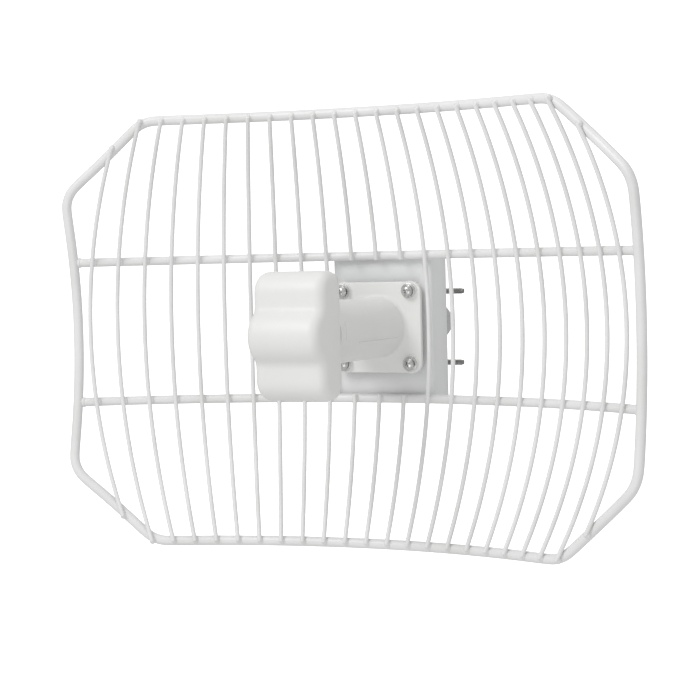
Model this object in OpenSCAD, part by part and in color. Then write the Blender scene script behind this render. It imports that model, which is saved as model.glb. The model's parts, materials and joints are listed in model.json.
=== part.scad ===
// Parabolic grid antenna: a welded wire reflector, a radio in a plastic feed, and an offset mast clamp.
// The dish frame has its origin at the middle of the wire surface, with the beam along -Y and +Z up.
// The row frame has its origin on the mast axis, level with the middle of the dish.

/* [Reflector] */
// Overall width of the grid
grid_w = 610; // [560:5:700]
// Overall height of the grid
grid_h = 432; // [380:4:500]
// Bend radius of the reflecting surface, the same in plan and in elevation
dish_r = 522; // [450:2:650]
// Width of the straight part of the upper and lower rim
corner_x = 436; // [360:4:470]
// Height of the straight part of the side rim
corner_z = 276; // [200:4:300]
// Bend radius of the rim at its corners
rim_bend = 36; // [20:2:50]
// Diameter of the rim rod
rim_d = 10; // [8:0.5:12]
// Diameter of the two cross bars
bar_d = 9; // [7:0.5:11]
// Height of each cross bar above or below the middle
bar_z = 71; // [60:1:85]
// Diameter of the reflecting wires
wire_d = 4.5; // [3:0.25:6]
// Distance from the outermost wires to the middle of the side rim, at mid height
wire_edge = 14.2; // [10:0.2:20]
// Share of its distance from the middle that a wire moves inwards at 200 mm height
wire_lean = 0.16; // [0:0.01:0.2]

/* [Reflector bracket] */
// Width of the bracket's front plate
bracket_w = 108; // [100:1:125]
// Depth of the bracket's side walls
bracket_depth = 36; // [32:1:46]
// Sheet thickness of the bracket
bracket_t = 2.5; // [2:0.25:4]
// Outside radius of the bracket's bends
bend_r = 4; // [3.5:0.5:6]
// Distance from the dish middle back to the bracket's front plate
bracket_y = 7; // [7:0.5:12]

/* [Feed] */
// Distance from the feed screws to the left and right edges of the feed's flange
flange_side = 11; // [9:0.5:14]
// Distance from the feed screws to the upper and lower edges of the flange
flange_end = 9; // [9:0.5:14]
// Thickness of the flange
flange_t = 5; // [4:0.5:8]
// Side of the square of feed screws
screw_square = 72; // [68:1:74]
// Outer diameter of the feed tube
tube_d = 60; // [52:1:62]
// Wall of the feed's plastic mouldings
shell_t = 2.5; // [2:0.25:3.5]
// Distance from the dish middle to the back of the feed head
head_back = 152; // [140:1:180]
// Width of the feed head
head_w = 74; // [68:1:84]
// Height of the feed head
head_h = 119; // [110:1:130]
// Depth of the head from its back to its upper and lower lobes
head_depth = 42; // [38:1:52]
// Further reach of the ridge across the middle of the head
ridge_reach = 15; // [8:1:20]
// Outer diameter of the feed's tail behind the reflector
tail_d = 42; // [36:1:44]
// Distance from the dish middle back to the end of the tail
tail_y = 136; // [128:1:138]
// Length of the removable end cap on the tail
cap_len = 22; // [18:1:26]

/* [Mast clamp] */
// Diameter of the mast that the clamp takes
mast_d = 48.3; // [42:0.1:52]
// Distance from the dish middle back to the mast axis
mast_y = 93; // [90:1:98]
// Thickness of the side plate
plate_t = 3.5; // [3:0.25:5]
// Thickness of the saddle at its thinnest place
saddle_web = 3; // [3:0.5:6]
// Height of each saddle
saddle_h = 22; // [18:1:26]
// Diameter of the U-bolt rod
u_rod = 6; // [5:0.5:7]
// Gap on each side between the mast and the legs of a U-bolt
mast_gap = 0.85; // [0.4:0.05:3]
// Distance from the mast axis to the ends of the U-bolt legs
u_leg = 117; // [105:0.5:130]
// Height of each U-bolt above or below the middle
u_z = 37; // [36:0.5:40]

/* [Elevation] */
// Distance from the dish middle back to the elevation pivot
pivot_y = 30; // [28:0.5:32]
// Diameter of the pivot bolt and the lock bolts
bolt_d = 8; // [6:0.5:9]
// Distance from the pivot bolt to each lock bolt
lock_r = 42; // [40:0.5:46]
// Elevation travel each way from level, in degrees
elevation_max = 7; // [4:0.5:7]
// Elevation at rest, with the beam below level, in degrees
elevation_rest = 3.3; // [0:0.1:6]

/* [Clearances] */
// Radial gap around a shaft that turns or slides in a bore
running_gap = 0.05; // [0.02:0.01:0.1]
// Gap between rods that a weld joins
weld_gap = 0.25; // [0.15:0.05:0.4]
// Radial gap of a rod or bolt in its clearance hole
hole_gap = 0.3; // [0.2:0.05:0.6]
// Gap between parts that fit inside each other
fit_gap = 0.3; // [0.2:0.05:0.5]

/* [Hidden] */
$fn = 48;
WIRES = 23;
MID = 12;
CUT = 1;
eps = 0.01;

rim_x = grid_w / 2 - rim_d / 2;
rim_z = grid_h / 2 - rim_d / 2;
bracket_x = bracket_w / 2;
bracket_h = 2 * bar_z;
wall_in = -bracket_x + bracket_t;
plate_in = wall_in + plate_t;
mast_x = wall_in - saddle_web - mast_d / 2;
u_span = mast_d + 2 * mast_gap + u_rod;
flange_w = screw_square + 2 * flange_side;
flange_h = screw_square + 2 * flange_end;
// The plate's front edge clears the bend of the bracket over the whole travel
bolt_land = 1;
tilt_gap = 0.6;
front_h = 2 * (lock_r + bolt_d + bolt_land);
plate_y0 = bracket_y + bend_r + front_h / 2 * sin(elevation_max) + tilt_gap;
plate_mid_y = bracket_y + bracket_depth + 6;
plate_y1 = mast_y + u_span / 2 + 13;
plate_h = 2 * u_z + 32;
leg_y = [mast_y - u_span / 2, mast_y + u_span / 2];
half_screws = screw_square / 2;
// The round pad between the feed's flange and the bracket
pad_r = flange_w / 2 - 7;
pad_h = 7;
flange_y = bracket_y - pad_h - flange_t;
head_y = -head_back;
head_front = head_y - head_depth;
tail_r = tail_d / 2;
cap_y = tail_y - cap_len;

function wire_name(i) = str("wire_", i < 10 ? "0" : "", i);

// Depth of the reflecting surface in front of its middle, and its slope
function rise(s) = dish_r - sqrt(dish_r * dish_r - s * s);
function slope(s) = s / sqrt(dish_r * dish_r - s * s);
function dish_y(x, z) = -(rise(x) + rise(z));
// A rod that lies behind the wires, at distance off from them along the surface normal
function behind(x, z, off) = dish_y(x, z) + off * sqrt(1 + slope(x) * slope(x) + slope(z) * slope(z));

// Places a child of the dish frame in the row frame
module level() translate([-mast_x, -mast_y, 0]) children();
// The same for what tilts about the pivot
module tilted()
    level() translate([0, pivot_y, 0]) rotate([elevation_rest, 0, 0]) translate([0, -pivot_y, 0]) children();

// A rod that turns its axis from +Z to -Y
module along_y(y0, y1) translate([0, y1, 0]) rotate([90, 0, 0]) linear_extrude(y1 - y0) children();
module along_x(x0, x1) translate([x0, 0, 0]) rotate([90, 0, 90]) linear_extrude(x1 - x0) children();
module rounded(w, h, r) {
    square([w - 2 * r, h], center = true);
    square([w, h - 2 * r], center = true);
    for (x = [-1, 1], z = [-1, 1]) translate([x * (w / 2 - r), z * (h / 2 - r)]) circle(r);
}
module ring(outer, inner) difference() {
    circle(d = outer);
    circle(d = inner);
}
module at_corners(s) for (x = [-1, 1], z = [-1, 1]) translate([x * s, 0, z * s]) children();

// --- Grid ---

// A wire leans in as it rises, so it is one flat arc through its middle and its ends
function wire_x(i) = dish_r * sin((i - MID) / (MID - 1) * asin((rim_x - wire_edge) / dish_r));
function lean_x(x, z) = x * (1 - wire_lean * pow(z / 200, 2));
function rim_height(x) = abs(x) < corner_x / 2 ? rim_z
    : rim_z - (abs(x) - corner_x / 2) * (rim_z - corner_z / 2) / (rim_x - corner_x / 2);
// Height at which a wire meets the rim, by repeated trial
function wire_top(x, z = 200, tries = 8) = tries == 0 ? z : wire_top(x, rim_height(lean_x(x, z)), tries - 1);

module wire(i) {
    x0 = wire_x(i);
    top = wire_top(x0);
    from = [x0, dish_y(x0, 0)];
    to = [lean_x(x0, top), dish_y(lean_x(x0, top), top)];
    sag = norm(to - from);
    radius = (top * top + sag * sag) / (2 * sag);
    dir = (to - from) / sag;
    centre = from + radius * dir;
    half = asin(top / radius);
    low = asin((bar_z - bar_d / 2) / radius);
    spans = abs(i - MID) > CUT ? [[-half, half]] : [[-half, -low], [low, half]];
    color("white") tilted() translate([centre[0], centre[1], 0])
        rotate([0, 0, atan2(-dir[1], -dir[0])]) rotate([90, 0, 0])
            for (s = spans) rotate([0, 0, s[0]])
                rotate_extrude(angle = s[1] - s[0]) translate([radius, 0]) circle(d = wire_d, $fn = 24);
}

bar_off = (bar_d + wire_d) / 2 + weld_gap;
rim_off = (rim_d + wire_d) / 2 + weld_gap;
// A bar's ends stop short of the rim rod, measured along the bar
module cross_bar(side) {
    radius = dish_r + bar_off;
    rim_angle = atan2(rim_x, behind(rim_x, bar_z, rim_off) + dish_r + rise(bar_z));
    half = rim_angle - (rim_d / 2 + weld_gap) / radius * 180 / PI;
    color("white") tilted() translate([0, -dish_r - rise(bar_z), side * bar_z]) rotate([0, 0, 90 - half])
        rotate_extrude(angle = 2 * half, $fn = 96) translate([radius, 0]) circle(d = bar_d, $fn = 32);
}

// The rim's outline: eight corners, each an arc, with points along the straight runs between them
rim_corners = [for (q = [[1, 1], [-1, 1], [-1, -1], [1, -1]])
    each q[0] * q[1] > 0 ? [rim_corner(q, 1), rim_corner(q, 0)] : [rim_corner(q, 0), rim_corner(q, 1)]];
function rim_corner(q, side) = side == 1 ? [q[0] * rim_x, q[1] * corner_z / 2]
    : [q[0] * corner_x / 2, q[1] * rim_z];
function unit(v) = v / norm(v);
function turn_arc(p, a, b, r, n) = let (
    u = unit(a - p), v = unit(b - p),
    half = acos(u * v) / 2,
    reach = r / tan(half),
    mid = p + unit(u + v) * r / sin(half),
    start = p + u * reach - mid,
    sweep = (180 - 2 * half) * (u[0] * v[1] - u[1] * v[0] > 0 ? -1 : 1))
    [for (k = [0 : n]) mid + turned(start, sweep * k / n)];
function turned(v, a) = [v[0] * cos(a) - v[1] * sin(a), v[0] * sin(a) + v[1] * cos(a)];
function corner_arc(k) =
    turn_arc(rim_corners[k], rim_corners[(k + 7) % 8], rim_corners[(k + 1) % 8], rim_bend, 4);
function straight(a, b, step) = let (n = ceil(norm(b - a) / step))
    [for (k = [1 : 1 : n - 1]) a + (b - a) * k / n];
rim_outline = [for (k = [0 : 7]) let (arc = corner_arc(k), next = corner_arc((k + 1) % 8))
    each concat(arc, straight(arc[4], next[0], 28))];
rim_path = [for (p = rim_outline) [p[0], behind(p[0], p[1], rim_off), p[1]]];

// A closed rod of n sides along a loop of points
module loop_rod(path, d, n) {
    count = len(path);
    rings = [for (k = [0 : count - 1]) let (
        t = unit(path[(k + 1) % count] - path[(k + count - 1) % count]),
        a = unit([0, 1, 0] - t * t[1]),
        b = cross(t, a))
        each [for (j = [0 : n - 1]) path[k] + d / 2 * (a * cos(360 * j / n) + b * sin(360 * j / n))]];
    faces = [for (k = [0 : count - 1], j = [0 : n - 1]) let (
        p = k * n + j, q = k * n + (j + 1) % n,
        r = ((k + 1) % count) * n + (j + 1) % n, s = ((k + 1) % count) * n + j)
        each [[p, q, r], [p, r, s]]];
    polyhedron(rings, faces);
}
module rim_frame() color("white") tilted() loop_rod(rim_path, rim_d, 10);

// --- Reflector bracket ---

module channel_outline(w, d, r) translate([-w / 2, 0]) {
    translate([r, 0]) square([w - 2 * r, d]);
    translate([0, r]) square([w, d - r]);
    for (x = [r, w - r]) translate([x, r]) circle(r);
}
module reflector_bracket() color("whitesmoke") tilted() difference() {
    translate([0, bracket_y, -bracket_h / 2]) linear_extrude(bracket_h) difference() {
        channel_outline(bracket_w, bracket_depth, bend_r);
        translate([0, bracket_t])
            channel_outline(bracket_w - 2 * bracket_t, bracket_depth, bend_r - bracket_t);
    }
    along_y(bracket_y - 1, bracket_y + bracket_t + 1) circle(r = tail_r + fit_gap);
    at_corners(half_screws) along_y(bracket_y - 1, bracket_y + bracket_t + 1)
        circle(r = screw_d / 2 + hole_gap);
    translate([0, pivot_y, 0]) along_x(-bracket_x - 1, wall_in + 1) circle(r = bolt_d / 2 + running_gap);
    for (z = [-1, 1]) translate([0, pivot_y, z * lock_r])
        along_x(-bracket_x - 1, wall_in + 1) circle(r = bolt_d / 2 + hole_gap);
}

// --- Feed ---

screw_d = 5;
boss_h = 3;
boss_r = 8;
// Radii of the head's lobes and of its ridge, and how far its front lies ahead of the lobes
lobe_r = 20;
ridge_r = 26;
head_tip = head_front - ridge_reach - 5;

// The head's outline seen from the side, from its back edge forwards: two lobes and a ridge
module head_side(grow) {
    reach = head_h / 2 - lobe_r;
    for (z = [-reach, reach]) translate([lobe_r - head_depth, z]) circle(lobe_r + grow);
    translate([-head_depth - grow, -reach]) square([head_depth + grow, 2 * reach]);
    translate([lobe_r - head_depth, -head_h / 2 - grow]) square([head_depth - lobe_r, head_h + 2 * grow]);
    translate([ridge_r - head_depth - ridge_reach, 0]) circle(ridge_r + grow);
}
module head_block(grow, y0, y1) intersection() {
    translate([-head_w / 2 - grow, head_y, 0]) rotate([90, 0, 90])
        linear_extrude(head_w + 2 * grow) head_side(grow);
    along_y(y0, y1) rounded(head_w + 2 * grow, head_h + 2 * grow, lobe_r + grow);
}
split_y = head_y - 10;
module feed_housing() color("whitesmoke") tilted() difference() {
    union() {
        along_y(flange_y, flange_y + flange_t) rounded(flange_w, flange_h, 10);
        along_y(flange_y + flange_t - eps, bracket_y) circle(pad_r);
        along_y(head_y - eps, flange_y + eps) circle(d = tube_d);
        at_corners(half_screws) along_y(flange_y - boss_h, flange_y + eps) circle(boss_r);
        head_block(0, split_y, head_y);
    }
    along_y(split_y - 1, bracket_y + 1) circle(d = tube_d - 2 * shell_t);
    head_block(-shell_t, split_y - 1, head_y - shell_t);
    at_corners(half_screws) along_y(flange_y - boss_h - 1, bracket_y + 1)
        circle(r = screw_d / 2 + hole_gap);
    window_cut(fit_gap);
}
module head_cover() color("whitesmoke") tilted() difference() {
    head_block(0, head_tip, split_y - fit_gap / 2);
    head_block(-shell_t, head_tip, split_y + 1);
}
// A flat frame that lies inside the joint of the head
seal_h = 6;
seal_t = 1.7;
module head_seal() color("dimgray") tilted() along_y(split_y - seal_h / 2, split_y + seal_h / 2)
difference() {
    inset = shell_t + fit_gap;
    rounded(head_w - 2 * inset, head_h - 2 * inset, lobe_r - inset);
    rounded(head_w - 2 * (inset + seal_t), head_h - 2 * (inset + seal_t), lobe_r - inset - seal_t);
}
window_y = -62;
window_l = 34;
window_w = 7;
module window_cut(gap) translate([0, window_y, -tube_d / 2])
    cube([window_w + 2 * gap, window_l + 2 * gap, 3 * shell_t], center = true);
module light_window() color("lightgray") tilted() intersection() {
    window_cut(0);
    along_y(window_y - window_l, window_y + window_l) ring(tube_d, tube_d - 2 * shell_t);
}
tail_in = tube_d / 2 - shell_t - fit_gap;
tail_front = flange_y - 15;
neck_l = 10;
cap_wall = 2.5;
tail_bore = tail_r - cap_wall - shell_t;
grommet_r = 6;
jack_y = cap_y - 14;
jack = [16, 21, 13.5];
jack_out = 11;
// The board slides in between two rails in the tail's bore
board_t = 1.6;
board_z = -6;
board_y = head_y + 6;
board_gap = 1.8;
board_w = 2 * (sqrt(tail_bore * tail_bore - board_z * board_z) - board_gap);
rail_grip = 2;
rail_h = 5;
module tail_tube() color("lightgray") tilted() difference() {
    union() {
        along_y(tail_front, bracket_y - fit_gap) circle(tail_in);
        along_y(bracket_y - fit_gap - eps, cap_y) circle(tail_r);
        along_y(cap_y - eps, cap_y + neck_l) circle(tail_r - cap_wall - running_gap);
    }
    difference() {
        along_y(tail_front - 1, tail_y) circle(tail_bore);
        for (s = [-1, 1]) translate([s * (board_w / 2 - rail_grip + tail_bore / 2), 0, board_z])
            cube([tail_bore, 2 * jack_y, rail_h], center = true);
    }
    translate([0, 0, board_z]) cube([board_w + fit_gap, 3 * jack_y, board_t + fit_gap], center = true);
}
cap_bevel = 4;
module tail_cap() color("silver") tilted() difference() {
    union() {
        along_y(cap_y + fit_gap, tail_y - cap_bevel) circle(tail_r);
        translate([0, tail_y - cap_bevel - eps, 0]) rotate([-90, 0, 0])
            cylinder(r1 = tail_r, r2 = tail_r - cap_bevel, h = cap_bevel);
    }
    along_y(cap_y, cap_y + neck_l + fit_gap) circle(tail_r - cap_wall);
    along_y(cap_y, tail_y - shell_t) circle(tail_r - 2 * cap_wall - fit_gap);
    along_y(tail_y - 2 * shell_t, tail_y + 1) circle(grommet_r);
}
module cable_grommet() color("dimgray") tilted() along_y(tail_y - shell_t, tail_y + 1.5)
    ring(2 * (grommet_r - running_gap), 5);
// A ring round the jack, pressed into the bore
seal_y = jack_y + jack_out - 2;
seal_in = norm([jack[0] / 2, board_z + board_t / 2 + jack[2]]) + fit_gap;
module tail_seal() color("dimgray") tilted() along_y(seal_y, jack_y + jack_out)
    ring(2 * (tail_bore - 2 * running_gap), 2 * seal_in);

can = [18, 44, 6];
can_t = 0.4;
can_y = board_y + 51;
dipole = [48, 1.2, 13];
arm = [6, 16.8, 2.2];
module circuit_board() color("seagreen") tilted()
    translate([-board_w / 2, board_y, board_z - board_t / 2]) cube([board_w, jack_y - board_y, board_t]);
module shield_can() color("silver") tilted() translate([-can[0] / 2, can_y, board_z + board_t / 2])
    difference() {
        cube(can);
        translate([can_t, can_t, -1]) cube(can + [-2 * can_t, -2 * can_t, 1 - can_t]);
    }
// A short crossbar in the head, on an arm below the board
dipole_y = head_y - 6;
module dipole_element() color("goldenrod") tilted() translate([0, dipole_y, board_z - board_t / 2 - arm[2]]) {
    translate([-dipole[0] / 2, 0, 0]) cube(dipole);
    translate([-arm[0] / 2, dipole[1] - eps, 0]) cube(arm);
}
// A plate at the front of the head, on a sleeve that ends at the crossbar
sub_y = head_front + 4;
sub_t = 1;
sub_drop = 26.5;
sleeve_d = 10;
sleeve_t = 2;
module sub_reflector() color("silver") tilted() {
    along_y(sub_y, sub_y + sub_t)
        rounded(head_w - 2 * (shell_t + fit_gap), head_h - 2 * sub_drop, 8);
    along_y(sub_y + sub_t - eps, dipole_y - fit_gap) ring(sleeve_d, sleeve_d - 2 * sleeve_t);
}
socket = [11.8, 16, 8];
module network_jack() color("silver") tilted()
    translate([0, jack_y, board_z + board_t / 2 + jack[2] / 2]) difference() {
        translate([-jack[0] / 2, jack_out - jack[1], -jack[2] / 2]) cube(jack);
        translate([-socket[0] / 2, jack_out - socket[1] + 1, -socket[2] / 2 - 0.2]) cube(socket);
    }
button_r = 1.6;
button_l = 7.5;
module reset_button() color("black") tilted()
    translate([0, jack_y - 6.5, board_z - board_t / 2 - button_r - fit_gap])
        along_y(0, button_l) circle(button_r);

// --- Feed fasteners, one at each corner of the square ---

stack_y = flange_y - boss_h;
wash_t = 1.4;
nut_h = 4;
screw_out = 5;
screw_head_d = 11;
screw_head_h = 4.2;
crown_r = 6.8;
module pan_head(d, h) intersection() {
    along_y(-h, 0) circle(d = d);
    translate([0, crown_r - h, 0]) sphere(r = crown_r, $fn = 64);
}
module cross_slot(s, w, depth) rotate([90, 0, 0]) for (a = [0, 90]) rotate([0, 0, a])
    translate([-s / 2, -w / 2, -depth]) cube([s, w, 2 * depth]);
module feed_screws() color("silver") tilted() at_corners(half_screws)
translate([0, stack_y - 2 * wash_t, 0]) {
    difference() {
        pan_head(screw_head_d, screw_head_h);
        translate([0, -screw_head_h, 0]) cross_slot(5.5, 1.2, 2);
    }
    along_y(-eps, bracket_y + bracket_t + nut_h + screw_out - stack_y + 2 * wash_t) circle(d = screw_d);
}
module feed_spring_washers() color("silver") tilted() at_corners(half_screws) difference() {
    along_y(stack_y - 2 * wash_t, stack_y - wash_t) ring(screw_d + 5, screw_d + 0.4);
    translate([0, stack_y - 1.5 * wash_t, 4]) cube([0.8, 3 * wash_t, 6], center = true);
}
module feed_flat_washers() color("silver") tilted() at_corners(half_screws)
    along_y(stack_y - wash_t, stack_y) ring(2 * boss_r - 1, screw_d + 0.6);
module feed_nuts() color("silver") tilted() at_corners(half_screws)
    along_y(bracket_y + bracket_t, bracket_y + bracket_t + nut_h) difference() {
        circle(d = 1.84 * screw_d, $fn = 6);
        circle(r = screw_d / 2 + running_gap);
    }

// --- Mast bracket and clamp ---

flange_in = 14;
slot_extra = 0.5;
module lock_slot(z) {
    a0 = z > 0 ? 90 : 270;
    reach = elevation_max + slot_extra;
    r = bolt_d / 2 + hole_gap;
    rotate([90, 0, 90]) linear_extrude(plate_t + 2) {
        intersection() {
            ring(2 * (lock_r + r), 2 * (lock_r - r));
            polygon([[0, 0], for (s = [-1, 0, 1]) 90 * [cos(a0 + s * reach), sin(a0 + s * reach)]]);
        }
        for (s = [-1, 1]) rotate(a0 + s * reach) translate([lock_r, 0]) circle(r - 0.02);
    }
}
module pole_bracket() color("silver") level() difference() {
    union() {
        translate([wall_in, plate_y0, -front_h / 2]) cube([plate_t, plate_mid_y - plate_y0, front_h]);
        translate([wall_in, plate_y0 + 6, -plate_h / 2]) cube([plate_t, plate_y1 - plate_y0 - 6, plate_h]);
        for (z = [-plate_h / 2, plate_h / 2 - plate_t])
            translate([wall_in, plate_mid_y + 4, z]) cube([flange_in, plate_y1 - plate_mid_y - 4, plate_t]);
    }
    translate([0, pivot_y, 0]) along_x(wall_in - 1, plate_in + 1) circle(r = bolt_d / 2 + hole_gap);
    for (z = [-1, 1]) translate([wall_in - 1, pivot_y, 0]) lock_slot(z);
    at_legs() along_x(wall_in - 1, plate_in + 1) circle(r = u_rod / 2 + hole_gap);
    translate([0, plate_y1 - 8, ground_z]) along_x(wall_in - 1, plate_in + 1) circle(r = ground_r);
}
ground_r = 2.1;
// Below the tail, so that its screw has a free way in
ground_z = -tail_r - 3;
saddle_reach = 65;
saddle_w = u_span + u_rod + 7;
module saddle(z) color("gray") level() translate([0, 0, z - saddle_h / 2]) difference() {
    x0 = mast_x + mast_d / 2 * cos(saddle_reach);
    linear_extrude(saddle_h) difference() {
        translate([x0, mast_y - saddle_w / 2]) square([wall_in - x0, saddle_w]);
        translate([mast_x, mast_y]) circle(d = mast_d, $fn = 96);
    }
    for (y = leg_y) translate([0, y, saddle_h / 2]) along_x(x0 - 1, wall_in + 1)
        circle(r = u_rod / 2 + hole_gap);
}
module upper_saddle() saddle(u_z);
module lower_saddle() saddle(-u_z);
grip = mast_gap - running_gap;
module u_bolt(z) color("silver") level() translate([mast_x + grip, mast_y, z]) {
    rotate([0, 0, 90]) rotate_extrude(angle = 180) translate([u_span / 2, 0]) circle(d = u_rod);
    for (y = [-1, 1]) translate([0, y * u_span / 2, 0]) along_x(0, u_leg - grip) circle(d = u_rod);
}
module upper_u_bolt() u_bolt(u_z);
module lower_u_bolt() u_bolt(-u_z);
clamp_wash = 1.6;
module at_legs() for (y = leg_y, z = [-u_z, u_z]) translate([0, y, z]) children();
module clamp_washers() color("silver") level() at_legs()
    along_x(plate_in, plate_in + clamp_wash) ring(2 * u_rod, u_rod + 0.6);
module clamp_nuts() color("silver") level() at_legs()
    along_x(plate_in + clamp_wash, plate_in + clamp_wash + 0.85 * u_rod) difference() {
        circle(d = 1.92 * u_rod, $fn = 6);
        circle(r = u_rod / 2 + running_gap);
    }

// --- Elevation bolts through the left wall and the plate ---

bolt_head_h = 5.3;
bolt_wash = 1.6;
bolt_nut_h = 6.5;
bolt_tip = plate_in + bolt_wash + bolt_nut_h + 2.5;
module hex_bolt() {
    along_x(-bracket_x - bolt_head_h, -bracket_x) circle(d = 1.84 * bolt_d, $fn = 6);
    along_x(-bracket_x - eps, bolt_tip) circle(d = bolt_d);
}
module hex_nut() along_x(plate_in + bolt_wash, plate_in + bolt_wash + bolt_nut_h) difference() {
    circle(d = 1.84 * bolt_d, $fn = 6);
    circle(r = bolt_d / 2 + running_gap);
}
module bolt_washer() along_x(plate_in, plate_in + bolt_wash) ring(2 * bolt_d, bolt_d + 0.6);
module at_locks() for (z = [-lock_r, lock_r]) translate([0, pivot_y, z]) children();
module pivot_bolt() color("silver") level() translate([0, pivot_y, 0]) hex_bolt();
module pivot_nut() color("silver") level() translate([0, pivot_y, 0]) hex_nut();
module pivot_washers() color("silver") level() translate([0, pivot_y, 0]) bolt_washer();
module lock_bolts() color("silver") tilted() at_locks() hex_bolt();
module lock_nuts() color("silver") tilted() at_locks() hex_nut();
module lock_washers() color("silver") tilted() at_locks() bolt_washer();

for (i = [1 : WIRES]) wire(i);
rim_frame();
cross_bar(1);  // upper_bar
cross_bar(-1);  // lower_bar
reflector_bracket();
feed_housing();
tail_tube();
head_cover();
head_seal();
circuit_board();
shield_can();
dipole_element();
sub_reflector();
light_window();
network_jack();
tail_seal();
tail_cap();
cable_grommet();
reset_button();
feed_screws();
feed_spring_washers();
feed_flat_washers();
feed_nuts();
pole_bracket();
upper_saddle();
lower_saddle();
upper_u_bolt();
lower_u_bolt();
clamp_nuts();
clamp_washers();
pivot_bolt();
pivot_nut();
pivot_washers();
lock_bolts();
lock_nuts();
lock_washers();
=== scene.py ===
import json
import math

import bpy
from mathutils import Matrix, Vector

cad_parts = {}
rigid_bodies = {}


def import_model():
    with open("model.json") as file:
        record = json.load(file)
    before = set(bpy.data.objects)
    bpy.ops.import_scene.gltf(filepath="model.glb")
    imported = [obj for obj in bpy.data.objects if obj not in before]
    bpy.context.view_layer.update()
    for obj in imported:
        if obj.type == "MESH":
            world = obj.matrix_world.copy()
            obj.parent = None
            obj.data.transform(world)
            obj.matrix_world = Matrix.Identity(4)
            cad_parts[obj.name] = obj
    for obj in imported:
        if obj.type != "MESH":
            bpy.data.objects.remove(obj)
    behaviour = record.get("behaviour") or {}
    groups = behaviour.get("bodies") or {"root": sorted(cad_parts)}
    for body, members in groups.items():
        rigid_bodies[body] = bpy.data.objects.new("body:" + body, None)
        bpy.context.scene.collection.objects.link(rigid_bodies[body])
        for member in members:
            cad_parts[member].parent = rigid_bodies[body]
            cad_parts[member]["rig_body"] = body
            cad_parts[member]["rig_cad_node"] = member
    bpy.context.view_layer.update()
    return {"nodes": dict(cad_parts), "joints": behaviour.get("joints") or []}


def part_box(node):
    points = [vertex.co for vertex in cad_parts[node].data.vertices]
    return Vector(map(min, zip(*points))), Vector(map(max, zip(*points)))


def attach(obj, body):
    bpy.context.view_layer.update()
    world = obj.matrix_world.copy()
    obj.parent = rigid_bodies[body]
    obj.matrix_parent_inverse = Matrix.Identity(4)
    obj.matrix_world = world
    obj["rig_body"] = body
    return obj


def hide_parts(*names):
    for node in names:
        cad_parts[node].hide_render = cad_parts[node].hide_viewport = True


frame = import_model()
bpy.ops.object.select_all(action="DESELECT")

# --- Places, in metres, taken from the frame ---

MM = 0.001
slide_axis = next(j["axis"] for j in frame["joints"] if j["name"] == "end_cap_slide")
tilt = math.atan2(slide_axis[2], slide_axis[1])


def middle(node):
    """The middle of a node's box."""
    low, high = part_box(node)
    return (low + high) / 2


# The dish frame has its origin at the middle of the wire surface, with the beam along -Y.
PIVOT_BACK = 30 * MM
pivot = middle("pivot_nut")
dish_x = middle("tail_cap").x
DISH = (
    Matrix.Translation((dish_x, pivot.y, pivot.z))
    @ Matrix.Rotation(tilt, 4, "X")
    @ Matrix.Translation((0, -PIVOT_BACK, 0))
)

# --- Driving sizes, in metres ---

GRID_W = 610 * MM
GRID_H = 432 * MM
DISH_R = 522 * MM
CORNER_X = 218 * MM
CORNER_Z = 138 * MM
RIM_D = 10 * MM
BAR_D = 9 * MM
BAR_Z = 71 * MM
WIRE_D = 4.5 * MM
WIRE_EDGE = 14.2 * MM
WIRE_LEAN = 0.16
LEAN_AT = 200 * MM
WIRES = 23
CUT_WIRES = 1
WELD_GAP = 0.25 * MM
FLANGE_FRONT = -5 * MM
FLANGE_T = 5 * MM
FLANGE_W = 94 * MM
FLANGE_H = 90 * MM
SCREW_HALF = 36 * MM
SCREW_STACK = 8 * MM
WASHER_T = 1.4 * MM
PLATE_WASHER_T = 1.6 * MM
HEX_R = 7.36 * MM
LOCK_R = 42 * MM
BRACKET_HALF = 38 * MM
TUBE_R = 30 * MM
TUBE_FOOT_R = 4 * MM
TUBE_NECK_R = 5 * MM
HEAD_BACK = -152 * MM
HEAD_SPLIT = -162 * MM
HEAD_W = 74 * MM
HEAD_H = 119 * MM
HEAD_SIDE_R = 12.5 * MM
HEAD_BACK_R = 14 * MM
LOBE_R = 20 * MM
LOBE_AHEAD = 42 * MM
CREASE_R = 10 * MM
RIDGE_R = 26 * MM
RIDGE_AHEAD = 57 * MM
SEAM = 0.3 * MM
TAIL_R = 21 * MM
CAP_L = 22 * MM
TAIL_Y = 136 * MM
U_SPAN = 56 * MM
U_ROD = 6 * MM
U_Z = 37 * MM
RIM_X = GRID_W / 2 - RIM_D / 2
RIM_Z = GRID_H / 2 - RIM_D / 2
MID = (WIRES + 1) // 2

# --- Modelling tools ---

X_AXIS = Matrix.Rotation(math.pi / 2, 4, "Y")
Y_AXIS = Matrix.Rotation(-math.pi / 2, 4, "X")


def only(piece):
    """Makes piece the only selected object and the active one."""
    bpy.ops.object.select_all(action="DESELECT")
    piece.select_set(True)
    bpy.context.view_layer.objects.active = piece
    return piece


def edit(piece, mode="VERT"):
    """Opens piece in edit mode with nothing selected."""
    only(piece)
    bpy.ops.object.mode_set(mode="EDIT")
    bpy.ops.mesh.select_mode(type=mode)
    bpy.ops.mesh.select_all(action="DESELECT")
    bpy.ops.object.mode_set(mode="OBJECT")


def pick_verts(piece, test):
    """Selects the vertices whose place passes the test, and goes into edit mode."""
    edit(piece, "VERT")
    for v in piece.data.vertices:
        v.select = test(v.co)
    bpy.ops.object.mode_set(mode="EDIT")


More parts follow.
